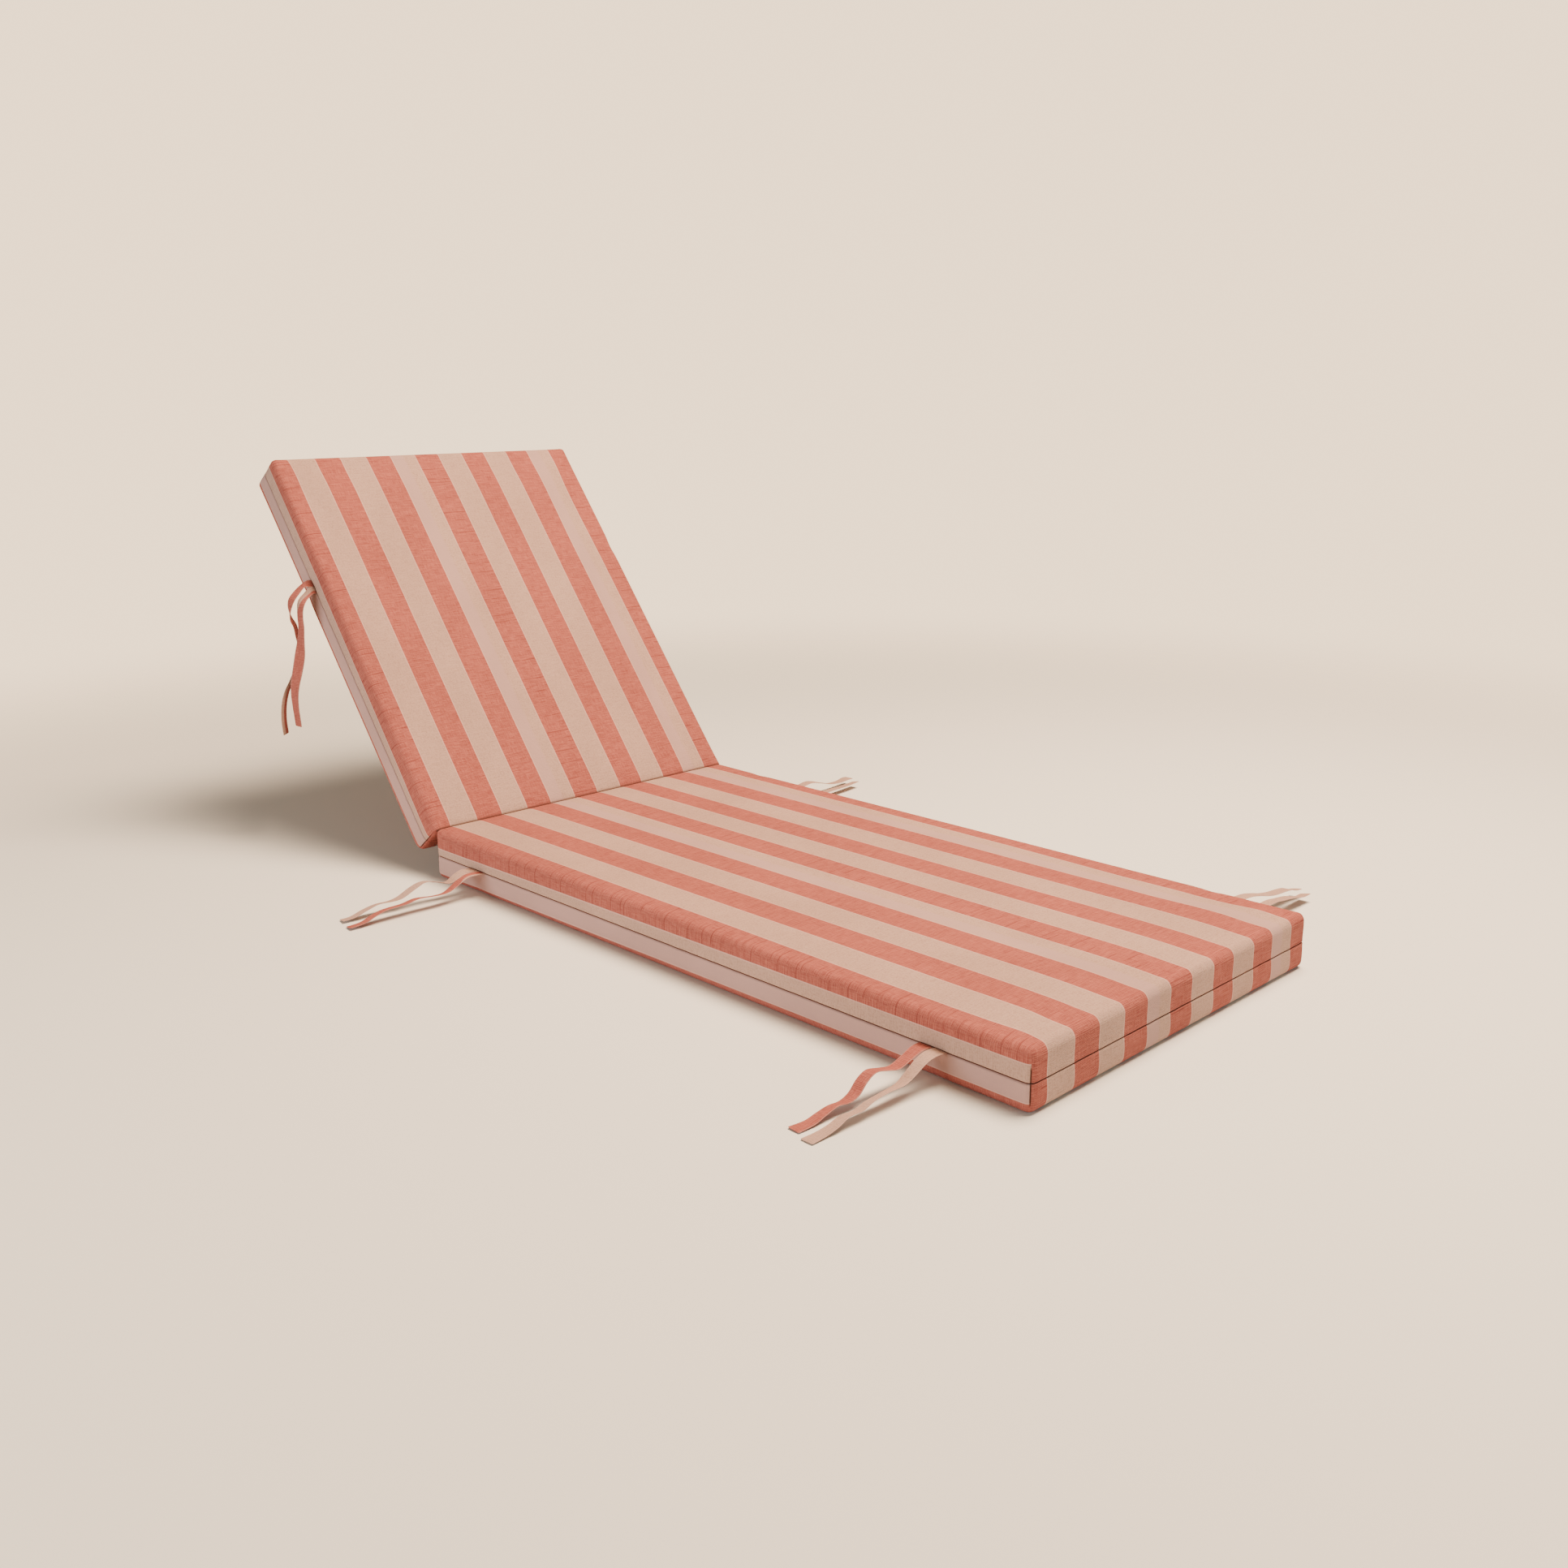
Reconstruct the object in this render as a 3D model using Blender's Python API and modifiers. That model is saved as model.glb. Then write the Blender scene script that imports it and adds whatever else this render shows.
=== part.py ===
"""Sun lounger cushion: a flat seat and a raised back that meet along a fold, with pairs of ties.

The origin is the centre of the seat's underside. +X runs to the foot end, +Z is up, and -Y is the
right side of somebody who sits on the seat and looks at the foot end.
"""
from math import cos, pi, radians, sin, tan

import bmesh
import bpy
from mathutils import Matrix, Vector

# Driving sizes, in metres
WIDTH = 0.610
SEAT_LENGTH = 1.146
BACK_LENGTH = 0.713
THICKNESS = 0.0775
BACK_ANGLE = radians(51.6)
EDGE_RADIUS = 0.011
CROWN = 0.004
SEWING_GAP = 0.0003

# The fold: both sections swell a little past the fold line and are sewn face to face
FOLD_SWELL = 0.003
FOLD_RADIUS = 0.004
SEAT_HEEL_RADIUS = 0.011
BACK_HEEL_RADIUS = 0.020
FOLD_X = -SEAT_LENGTH / 2

# The seam at mid thickness, all round each section
SEAM_HEIGHT = 0.0365
SEAM_DEPTH = 0.002
SEAM_FLOOR = 0.0008
SEAM_MOUTH = 0.0016
DRAW_IN = 0.001
DRAW_IN_REACH = 0.012

# Grid of the covers
CUTS_ALONG_SEAT = 12
CUTS_ALONG_BACK = 8
CUTS_ACROSS = 7

# Ties: flat strips of doubled cover cloth, each with one end sewn into the seam
TIE_ROOT_WIDTH = 0.020
BACK_TIE_ROOT_WIDTH = 0.013
TIE_WIDTH = 0.0165
TIE_NARROWS_OVER = 0.040
TIE_THICKNESS = 0.001
TIE_STEP = 0.008
TIE_STANDS_OUT = 0.005
HEAD_TIES = (0.1025, 0.1235)
FOOT_TIES = (0.9990, 1.0200)
BACK_TIES = (0.4735, 0.4870)

CORAL = (0.56, 0.17, 0.115, 1.0)
BEIGE = (0.60, 0.45, 0.35, 1.0)

# How each tie on the seat waves. A row is one bend: how far out of the side, how far towards the
# foot end from the tie's root, how high above the floor, and how far the strip is rolled, in
# degrees, with the foot-end edge up.
SEAT_TIE_BENDS = {
    "tie_foot_right_a": [
        (0.014, 0.000, 0.0366, 3),
        (0.030, -0.001, 0.0307, 7),
        (0.048, -0.002, 0.0252, 6),
        (0.064, -0.003, 0.0278, 8),
        (0.083, -0.005, 0.0312, 12),
        (0.097, -0.006, 0.0246, 16),
        (0.110, -0.006, 0.0132, 18),
        (0.124, -0.007, 0.0082, 18),
        (0.140, -0.008, 0.0092, 17),
        (0.158, -0.009, 0.0054, 12),
        (0.175, -0.009, 0.0018, 6),
        (0.199, -0.010, 0.0018, -2),
    ],
    "tie_foot_right_b": [
        (0.014, 0.000, 0.0375, 1),
        (0.030, 0.000, 0.0345, 5),
        (0.047, -0.001, 0.0248, 10),
        (0.064, -0.001, 0.0175, 17),
        (0.090, -0.001, 0.0166, 24),
        (0.112, -0.002, 0.0142, 24),
        (0.130, -0.002, 0.0098, 20),
        (0.150, -0.003, 0.0100, 18),
        (0.168, -0.003, 0.0050, 12),
        (0.185, -0.004, 0.0018, 6),
        (0.207, -0.004, 0.0016, 0),
    ],
    "tie_head_right_a": [
        (0.014, -0.001, 0.0375, 0),
        (0.027, -0.003, 0.0330, 0),
        (0.043, -0.004, 0.0252, 6),
        (0.060, -0.006, 0.0294, 12),
        (0.081, -0.008, 0.0344, 15),
        (0.100, -0.010, 0.0285, 14),
        (0.120, -0.012, 0.0187, 14),
        (0.136, -0.014, 0.0157, 16),
        (0.157, -0.016, 0.0157, 18),
        (0.176, -0.018, 0.0109, 18),
        (0.195, -0.020, 0.0044, 16),
        (0.212, -0.022, 0.0032, 12),
    ],
    "tie_head_right_b": [
        (0.014, -0.001, 0.0375, 0),
        (0.030, -0.001, 0.0360, 3),
        (0.046, -0.002, 0.0266, 8),
        (0.062, -0.003, 0.0188, 14),
        (0.082, -0.003, 0.0185, 18),
        (0.110, -0.004, 0.0211, 19),
        (0.132, -0.005, 0.0175, 18),
        (0.162, -0.006, 0.0163, 18),
        (0.180, -0.007, 0.0115, 18),
        (0.197, -0.008, 0.0050, 16),
        (0.220, -0.009, 0.0034, 12),
    ],
    "tie_head_left_a": [
        (0.030, -0.004, 0.0350, 0),
        (0.070, -0.009, 0.0290, 0),
        (0.110, -0.014, 0.0285, 0),
        (0.140, -0.018, 0.0305, 0),
        (0.163, -0.021, 0.0262, 0),
        (0.183, -0.023, 0.0203, 4),
        (0.205, -0.026, 0.0144, 6),
        (0.235, -0.030, 0.0117, 4),
        (0.258, -0.033, 0.0131, -3),
        (0.272, -0.035, 0.0122, 0),
    ],
    "tie_head_left_b": [
        (0.030, -0.003, 0.0340, 0),
        (0.070, -0.008, 0.0225, 0),
        (0.110, -0.012, 0.0150, 4),
        (0.150, -0.017, 0.0122, 6),
        (0.190, -0.021, 0.0112, 6),
        (0.225, -0.025, 0.0107, 8),
        (0.247, -0.028, 0.0108, 10),
        (0.262, -0.030, 0.0112, 12),
    ],
    "tie_foot_left_a": [
        (0.030, 0.000, 0.0385, 0),
        (0.070, 0.000, 0.0395, 0),
        (0.105, 0.001, 0.0387, 0),
        (0.133, 0.001, 0.0335, 0),
        (0.157, 0.001, 0.0277, 0),
        (0.182, 0.001, 0.0234, 0),
        (0.212, 0.001, 0.0210, 2),
        (0.231, 0.001, 0.0186, 4),
        (0.245, 0.002, 0.0143, 8),
        (0.260, 0.002, 0.0122, 12),
    ],
    "tie_foot_left_b": [
        (0.030, 0.000, 0.0340, 0),
        (0.060, 0.000, 0.0268, 0),
        (0.095, 0.000, 0.0247, 2),
        (0.140, 0.000, 0.0258, 4),
        (0.165, 0.000, 0.0230, 4),
        (0.197, 0.000, 0.0188, 4),
        (0.217, 0.000, 0.0143, 8),
        (0.233, 0.000, 0.0112, 12),
        (0.251, 0.000, 0.0112, 14),
    ],
}

# How each tie on the back's right side hangs; those on its left side are their mirror image. A row
# is one bend: how far out of the side, how far towards the foot end from the root, how high above
# the root, and how far the strip's width is turned about the vertical, in degrees.
BACK_TIE_BENDS = {
    "a": [
        (0.0125, 0.001, -0.0050, -10),
        (0.0240, 0.003, -0.0140, -8),
        (0.0300, 0.005, -0.0260, -4),
        (0.0315, 0.005, -0.0415, -2),
        (0.0310, 0.005, -0.0570, -10),
        (0.0325, 0.005, -0.0725, -2),
        (0.0350, 0.005, -0.0880, -18),
        (0.0385, 0.005, -0.1075, -36),
        (0.0440, 0.004, -0.1310, -50),
        (0.0490, 0.003, -0.1505, -26),
        (0.0510, 0.002, -0.1685, -9),
        (0.0505, 0.001, -0.1910, -6),
        (0.0475, 0.000, -0.2235, -3),
    ],
    "b": [
        (0.0145, -0.002, -0.0030, 0),
        (0.0275, -0.002, -0.0140, 4),
        (0.0355, -0.002, -0.0250, 10),
        (0.0385, -0.004, -0.0395, 22),
        (0.0355, -0.007, -0.0545, 38),
        (0.0315, -0.009, -0.0690, 44),
        (0.0270, -0.011, -0.0845, 38),
        (0.0245, -0.011, -0.1015, 27),
        (0.0265, -0.012, -0.1215, 18),
        (0.0325, -0.012, -0.1410, 6),
        (0.0415, -0.011, -0.1595, -3),
        (0.0500, -0.011, -0.1740, 2),
        (0.0560, -0.010, -0.1890, 8),
        (0.0600, -0.009, -0.2065, 14),
        (0.0610, -0.009, -0.2265, 18),
        (0.0595, -0.009, -0.2475, 18),
    ],
}


def clear_scene():
    for obj in list(bpy.data.objects):
        bpy.data.objects.remove(obj)
    for collection in list(bpy.data.collections):
        bpy.data.collections.remove(collection)


def cloth_material(name, colour):
    material = bpy.data.materials.new(name)
    material.use_nodes = True
    shader = material.node_tree.nodes["Principled BSDF"]
    shader.inputs["Base Color"].default_value = colour
    shader.inputs["Roughness"].default_value = 0.9
    shader.inputs["Metallic"].default_value = 0.0
    return material


def add_object(name, bm, material, collection):
    """The bmesh as an object of the collection, smooth but for its sharp edges."""
    bmesh.ops.recalc_face_normals(bm, faces=bm.faces)
    mesh = bpy.data.meshes.new(name)
    bm.to_mesh(mesh)
    bm.free()
    mesh.shade_smooth()
    mesh.set_sharp_from_angle(angle=radians(50))
    mesh.materials.append(material)
    obj = bpy.data.objects.new(name, mesh)
    collection.objects.link(obj)
    return obj


def rounded(point, low, high, radii):
    """The box's point moved onto the box with rounded edges, and the way its surface faces there."""
    core = Vector(min(max(point[i], low[i] + radii[i]), high[i] - radii[i]) for i in range(3))
    out = Vector((point[i] - core[i]) / radii[i] for i in range(3)).normalized()
    return core + Vector(out[i] * radii[i] for i in range(3)), out


def seam_inset(height):
    """How far the side is drawn in at this height: a shallow hollow with the sewn channel at its middle."""
    off = abs(height - SEAM_HEIGHT)
    hollow = DRAW_IN * max(0.0, 1 - off / DRAW_IN_REACH)
    channel = (SEAM_MOUTH - off) / (SEAM_MOUTH - SEAM_FLOOR)
    return hollow + SEAM_DEPTH * min(max(channel, 0.0), 1.0)


def cut_positions(start, end, radius, count):
    """Where one axis of a section is cut: across each rounded edge, and at even steps between them."""
    edge = (radius * (1 - tan(pi / 8)), radius)
    inner_start, inner_end = start + edge[1], end - edge[1]
    steps = [inner_start + (inner_end - inner_start) * i / (count + 1) for i in range(count + 2)]
    return [start + edge[0]] + steps + [end - edge[0]]


def end_radius(height, heel_radius):
    """The rounding's length along X at the fold's end: tight at the fold, wide at the heel below."""
    if height > THICKNESS - EDGE_RADIUS:
        share = (height - THICKNESS + EDGE_RADIUS) / EDGE_RADIUS
        return EDGE_RADIUS + (FOLD_RADIUS - EDGE_RADIUS) * share
    share = max(0.0, 1 - height / EDGE_RADIUS)
    return EDGE_RADIUS + (heel_radius - EDGE_RADIUS) * share


def cushion_section(name, length, heel_radius, cuts_along, material, collection):
    """One section: its fold line is Y at the height THICKNESS, its underside flat at z = 0."""
    low = Vector((-FOLD_SWELL, -WIDTH / 2, 0))
    high = Vector((length, WIDTH / 2, THICKNESS))
    bm = bmesh.new()
    bmesh.ops.create_cube(bm, size=1)
    bmesh.ops.scale(bm, vec=high - low, verts=bm.verts)
    bmesh.ops.translate(bm, vec=(low + high) / 2, verts=bm.verts)
    seam_offsets = (SEAM_FLOOR, SEAM_MOUTH, DRAW_IN_REACH)
    seam_cuts = [SEAM_HEIGHT + side * off for side in (-1, 1) for off in seam_offsets]
    fold_cuts = [low.x + FOLD_RADIUS * (1 - tan(pi / 8)), low.x + FOLD_RADIUS]
    cuts = (
        fold_cuts + cut_positions(low.x, high.x, EDGE_RADIUS, cuts_along),
        cut_positions(low.y, high.y, EDGE_RADIUS, CUTS_ACROSS),
        cut_positions(low.z, high.z, EDGE_RADIUS, 0) + seam_cuts,
    )
    for axis, positions in enumerate(cuts):
        normal = Vector(float(i == axis) for i in range(3))
        for position in positions:
            everything = bm.verts[:] + bm.edges[:] + bm.faces[:]
            bmesh.ops.bisect_plane(bm, geom=everything, plane_co=normal * position, plane_no=normal)
    for vert in bm.verts:
        start = vert.co.copy()
        near_fold = start.x < length / 2
        radius_along = end_radius(start.z, heel_radius) if near_fold else EDGE_RADIUS
        radii = Vector((radius_along, EDGE_RADIUS, EDGE_RADIUS))
        vert.co, out = rounded(start, low, high, radii)
        sideways = Vector((out.x, out.y, 0))
        vert.co -= sideways * seam_inset(start.z)
        if out.z > 0:
            along = 2 * (start.x - low.x) / (high.x - low.x) - 1
            across = 2 * start.y / WIDTH
            vert.co.z += CROWN * (1 - along**4) * (1 - across**4)
    cut_fold_land(bm)
    return add_object(name, bm, material, collection)


def cut_fold_land(bm):
    """Trims the section to the plane halfway between the sections, where the two are sewn together."""
    half = BACK_ANGLE / 2
    normal = Vector((-cos(half), 0, sin(half)))
    fold_point = Vector((0, 0, THICKNESS)) - normal * SEWING_GAP / 2
    everything = bm.verts[:] + bm.edges[:] + bm.faces[:]
    cut = bmesh.ops.bisect_plane(
        bm, geom=everything, plane_co=fold_point, plane_no=normal, clear_outer=True
    )
    rim = [item for item in cut["geom_cut"] if isinstance(item, bmesh.types.BMEdge)]
    bmesh.ops.holes_fill(bm, edges=rim)


def back_matrix():
    """Turns a section about the fold line, from lying towards -X to leaning at the back's angle."""
    fold_line = Vector((FOLD_X, 0, THICKNESS))
    turn = Matrix.Rotation(BACK_ANGLE, 4, "Y") @ Matrix.Rotation(pi, 4, "Z")
    return Matrix.Translation(fold_line) @ turn @ Matrix.Translation((0, 0, -THICKNESS))


def smooth_path(rows, step):
    """Rows at even steps along a Catmull-Rom curve through the given rows, each a place and then more."""
    before_first = [2 * a - b for a, b in zip(rows[0], rows[1])]
    after_last = [2 * a - b for a, b in zip(rows[-1], rows[-2])]
    padded = [before_first] + [list(row) for row in rows] + [after_last]
    path = []
    for i in range(1, len(padded) - 2):
        before, start, end, after = padded[i - 1 : i + 3]
        count = max(1, round((Vector(end[:3]) - Vector(start[:3])).length / step))
        for j in range(count):
            t = j / count
            row = []
            for a, b, c, d in zip(before, start, end, after):
                curve = 2 * b + (c - a) * t
                curve += (2 * a - 5 * b + 4 * c - d) * t**2
                curve += (3 * b - a - 3 * c + d) * t**3
                row.append(curve / 2)
            path.append(row)
    return path + [list(rows[-1])]


def tie(name, rows, root_width, material, collection):
    """A strip of cloth along rows of place and width direction: a grid bent along them, then thickened."""
    path = smooth_path(rows, TIE_STEP)
    places = [Vector(row[:3]) for row in path]
    bm = bmesh.new()
    bmesh.ops.create_grid(bm, x_segments=1, y_segments=len(path) - 1, size=0.5)
    for vert in bm.verts:
        side = 2 * vert.co.x
        i = round((vert.co.y + 0.5) * (len(path) - 1))
        forward = (places[min(i + 1, len(path) - 1)] - places[max(i - 1, 0)]).normalized()
        direction = Vector(path[i][3:])
        direction = (direction - forward * direction.dot(forward)).normalized()
        narrowing = min(1.0, (places[i] - places[0]).length / TIE_NARROWS_OVER)
        width = root_width + (TIE_WIDTH - root_width) * narrowing
        vert.co = places[i] + direction * side * width / 2
    obj = add_object(name, bm, material, collection)
    solidify = obj.modifiers.new("doubled_cloth", "SOLIDIFY")
    solidify.thickness = TIE_THICKNESS
    solidify.offset = 0.0
    solidify.use_even_offset = True
    return obj


def seat_tie_rows(root_x, side, bends):
    """side is -1 on the right and 1 on the left. The root stands on the floor of the seam's channel."""
    root_out = SEWING_GAP - SEAM_DEPTH - DRAW_IN
    rows = []
    for out, along, height, roll in [(root_out, 0, SEAM_HEIGHT, 0), (0, 0, SEAM_HEIGHT, 0)] + bends:
        width = (cos(radians(roll)), 0, sin(radians(roll)))
        rows.append((root_x + along, side * (WIDTH / 2 + out), height, *width))
    return rows


def back_tie_rows(distance, side, bends):
    """The root lies in the seam of the leaning back, at this distance from the fold."""
    slope = Vector((-cos(BACK_ANGLE), 0, sin(BACK_ANGLE)))
    face = Vector((sin(BACK_ANGLE), 0, cos(BACK_ANGLE)))
    root = Vector((FOLD_X, 0, THICKNESS)) + slope * distance - face * (THICKNESS - SEAM_HEIGHT)
    root_out = SEWING_GAP - SEAM_DEPTH - DRAW_IN
    rows = []
    for out in (root_out, 0, TIE_STANDS_OUT):
        rows.append((root.x, side * (WIDTH / 2 + out), root.z, *(-slope)))
    for out, along, rise, turn in bends:
        width = (cos(radians(turn)), side * sin(radians(turn)), 0)
        rows.append((root.x + along, side * (WIDTH / 2 + out), root.z + rise, *width))
    return rows


def build():
    clear_scene()
    collection = bpy.data.collections.new("sun_lounger_cushion")
    bpy.context.scene.collection.children.link(collection)
    seat_cloth = cloth_material("seat_cover_cloth", CORAL)
    back_cloth = cloth_material("back_cover_cloth", CORAL)
    seat_sizes = (SEAT_LENGTH, SEAT_HEEL_RADIUS, CUTS_ALONG_SEAT)
    seat = cushion_section("seat_cushion", *seat_sizes, seat_cloth, collection)
    seat.location = (FOLD_X, 0, 0)
    back_sizes = (BACK_LENGTH, BACK_HEEL_RADIUS, CUTS_ALONG_BACK)
    back = cushion_section("back_cushion", *back_sizes, back_cloth, collection)
    back.matrix_world = back_matrix()

    roots = {"head": HEAD_TIES, "foot": FOOT_TIES}
    for name, bends in SEAT_TIE_BENDS.items():
        place, side_name, letter = name.split("_")[1:]
        side = -1 if side_name == "right" else 1
        root_x = FOLD_X + roots[place]["ab".index(letter)]
        colour = CORAL if name in ("tie_foot_right_a", "tie_head_right_b") else BEIGE
        rows = seat_tie_rows(root_x, side, bends)
        tie(name, rows, TIE_ROOT_WIDTH, cloth_material(name + "_cloth", colour), collection)
    for side_name, side in (("right", -1), ("left", 1)):
        for distance, (letter, bends) in zip(BACK_TIES, BACK_TIE_BENDS.items()):
            name = "tie_back_" + side_name + "_" + letter
            rows = back_tie_rows(distance, side, bends)
            tie(name, rows, BACK_TIE_ROOT_WIDTH, cloth_material(name + "_cloth", CORAL), collection)


build()
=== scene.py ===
from math import atan, copysign, cos, exp, pi, radians, sin, tan

import bmesh
import bpy
from mathutils import Matrix, Vector, noise


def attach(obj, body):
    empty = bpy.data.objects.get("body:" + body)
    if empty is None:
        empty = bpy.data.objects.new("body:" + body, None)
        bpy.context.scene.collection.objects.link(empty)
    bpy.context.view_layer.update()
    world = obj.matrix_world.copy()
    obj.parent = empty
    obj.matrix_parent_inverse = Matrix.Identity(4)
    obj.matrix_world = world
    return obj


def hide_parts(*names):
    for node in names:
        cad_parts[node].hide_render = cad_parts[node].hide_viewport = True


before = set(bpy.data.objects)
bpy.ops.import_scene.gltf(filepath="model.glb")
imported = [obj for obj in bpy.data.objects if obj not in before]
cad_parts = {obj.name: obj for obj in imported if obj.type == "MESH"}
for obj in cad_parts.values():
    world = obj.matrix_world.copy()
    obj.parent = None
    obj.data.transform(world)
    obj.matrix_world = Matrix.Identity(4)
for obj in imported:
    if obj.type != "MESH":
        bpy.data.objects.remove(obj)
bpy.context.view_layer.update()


# The stage: a pale floor that fades into a backdrop of its own colour, a soft box high above, two
# weaker lamps that fill the long side and the foot end, and a weak even light from all round. The
# camera looks from the front right.
CAMERA_PLACE = (1.4289, -1.5215, 0.7551)
CAMERA_AZIMUTH = radians(45.22)
CAMERA_ELEVATION = radians(14.838)
CAMERA_ROLL = radians(-0.092)
CAMERA_LENS = 34.847
CAMERA_SENSOR = 36.0
CAMERA_SEES_TO = 200.0
STAGE_RADIUS = 9.0
STAGE_SIDES = 96
STAGE_FADES_FROM = 1.15
STAGE_FADES_TO = 3.3
FLOOR_COLOUR = (0.77, 0.74, 0.69, 1)
FLOOR_ROUGHNESS = 0.9
FLOOR_SHINE = 0.1
BACKDROP_COLOUR = (1.0, 0.73, 0.47, 1)
BACKDROP_STRENGTH = 2.65
ROOM_COLOUR = (1.0, 0.75, 0.50, 1)
ROOM_STRENGTH = 0.24


def add_node(tree, kind, **settings):
    node = tree.nodes.new(kind)
    for key, value in settings.items():
        setattr(node, key, value)
    return node


camera_data = bpy.data.cameras.new("camera")
camera_data.lens = CAMERA_LENS
camera_data.sensor_width = CAMERA_SENSOR
camera_data.sensor_fit = "HORIZONTAL"
camera_data.clip_end = CAMERA_SEES_TO
camera = bpy.data.objects.new("camera", camera_data)
bpy.context.scene.collection.objects.link(camera)
turn = Matrix.Rotation(CAMERA_AZIMUTH, 4, "Z") @ Matrix.Rotation(pi / 2 - CAMERA_ELEVATION, 4, "X")
camera.matrix_world = Matrix.Translation(CAMERA_PLACE) @ turn @ Matrix.Rotation(CAMERA_ROLL, 4, "Z")
bpy.context.scene.camera = camera

bpy.ops.object.select_all(action="DESELECT")
bpy.ops.mesh.primitive_circle_add(vertices=STAGE_SIDES, radius=STAGE_RADIUS, fill_type="NGON")
floor = bpy.context.object
floor.name = "floor"
floor_paint = bpy.data.materials.new("pale_floor")
floor_paint.use_nodes = True
floor_shader = floor_paint.node_tree.nodes["Principled BSDF"]
floor_shader.inputs["Base Color"].default_value = FLOOR_COLOUR
floor_shader.inputs["Roughness"].default_value = FLOOR_ROUGHNESS
floor_shader.inputs["Specular IOR Level"].default_value = FLOOR_SHINE
floor_nodes = floor_paint.node_tree
floor_place = add_node(floor_nodes, "ShaderNodeTexCoord")
floor_distance = add_node(floor_nodes, "ShaderNodeVectorMath", operation="LENGTH")
floor_fade = add_node(floor_nodes, "ShaderNodeMapRange", interpolation_type="SMOOTHERSTEP")
floor_fade.inputs["From Min"].default_value = STAGE_FADES_FROM
floor_fade.inputs["From Max"].default_value = STAGE_FADES_TO
floor_fade.inputs["To Min"].default_value = 1.0
floor_fade.inputs["To Max"].default_value = 0.0
floor_nodes.links.new(floor_place.outputs["Object"], floor_distance.inputs[0])
floor_nodes.links.new(floor_distance.outputs["Value"], floor_fade.inputs["Value"])
floor_nodes.links.new(floor_fade.outputs["Result"], floor_shader.inputs["Alpha"])
floor.data.materials.append(floor_paint)

# each lamp: place, aim, power, size across, size up, colour
STAGE_LIGHTS = {
    "soft_box": ((0.55, 0.80, 3.25), (0.0, 0.0, 0.0), 390, 1.7, 1.7, (1.0, 0.76, 0.54)),
    "side_fill": ((-0.7, -2.8, 0.4), (-0.6, 0.0, 0.25), 70, 2.2, 0.5, (0.90, 0.92, 0.88)),
    "end_fill": ((3.0, 0.4, 0.6), (0.5, 0.0, 0.1), 21, 1.6, 0.8, (0.50, 0.90, 1.0)),
}
for name, (place, target, power, across, up, colour) in STAGE_LIGHTS.items():
    lamp = bpy.data.lights.new(name, "AREA")
    lamp.energy = power
    lamp.color = colour
    lamp.shape = "RECTANGLE"
    lamp.size = across
    lamp.size_y = up
    lamp_object = bpy.data.objects.new(name, lamp)
    bpy.context.scene.collection.objects.link(lamp_object)
    lamp_object.location = place
    aim = Vector(target) - Vector(place)
    lamp_object.rotation_euler = aim.to_track_quat("-Z", "Y").to_euler()

# the backdrop that the camera sees, and the weaker light from all round that falls on the cushion
world = bpy.data.worlds.new("soft_room")
world.use_nodes = True
room = world.node_tree
seen = room.nodes["Background"]
seen.inputs["Color"].default_value = BACKDROP_COLOUR
seen.inputs["Strength"].default_value = BACKDROP_STRENGTH
given = add_node(room, "ShaderNodeBackground")
given.inputs["Color"].default_value = ROOM_COLOUR
given.inputs["Strength"].default_value = ROOM_STRENGTH
choice = add_node(room, "ShaderNodeMixShader")
room.links.new(add_node(room, "ShaderNodeLightPath").outputs["Is Camera Ray"], choice.inputs[0])
room.links.new(given.outputs[0], choice.inputs[1])
room.links.new(seen.outputs[0], choice.inputs[2])
room.links.new(choice.outputs[0], room.nodes["World Output"].inputs[0])
bpy.context.scene.world = world


# The seat section: a foam pad in a striped cover of two halves, sewn together half way up all
# round, with a mitred seam down each corner. The stripes run from the fold to the foot end and
# down the end face. It lies flat on its underside.
WIDTH = 0.610
SEAT_LENGTH = 1.146
THICKNESS = 0.0775
EDGE_RADIUS = 0.011
FOLD_SWELL = 0.003
FOLD_RADIUS = 0.004
SEAT_HEEL_RADIUS = 0.011
BACK_ANGLE = radians(51.6)
FOLD_X = -SEAT_LENGTH / 2
SEWING_GAP = 0.0003
CROWN = 0.0025
SLACK = 0.0006
SIDE_SWELL = 0.0010
SEAM_HEIGHT = 0.0365
DRAW_IN = 0.001
DRAW_IN_REACH = 0.012
SEAM_DEPTH = 0.0018

# the stripes across the cover: where a beige one starts, and one beige and one coral together
STRIPE_START = -0.2753
STRIPE_PERIOD = 0.0974
BEIGE_SHARE = 0.0490 / STRIPE_PERIOD
SELVEDGE_HALF = 0.0008 / STRIPE_PERIOD
# how far they slip down the sides, at the fold and at the foot end, above and below the seam
UPPER_SLIP = (-0.0053, 0.0057)
SEAT_LOWER_SLIP = (0.0034, 0.0082)
SLIP_REACH = 0.018

# The cover's canvas, which the ties are cut from too: coral and beige, with thick threads that show
# as thin darker lines. Its "cloth" map gives metres across the stripes, then metres along them.
CORAL = (0.325, 0.086, 0.068, 1)
CORAL_DEEP = (0.185, 0.040, 0.034, 1)
CORAL_PALE = (0.470, 0.150, 0.112, 1)
BEIGE = (0.440, 0.278, 0.220, 1)
BEIGE_DEEP = (0.290, 0.168, 0.130, 1)
BEIGE_ROSE = (0.425, 0.258, 0.232, 1)
SELVEDGE = (0.560, 0.350, 0.300, 1)
SELVEDGE_SHOWS = 0.75
# painted shade: the dark colour laid in the seam's channel, in the mitres' grooves and in the fold's crease
SEAM_SHADE = (0.085, 0.034, 0.026, 1)
CANVAS_SHINE = 0.12
RELIEF_STRENGTH = 0.5
RELIEF_HEIGHT = 0.0005
RIB_PITCH = 0.0018
RIB_WANDER = 0.0012
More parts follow.
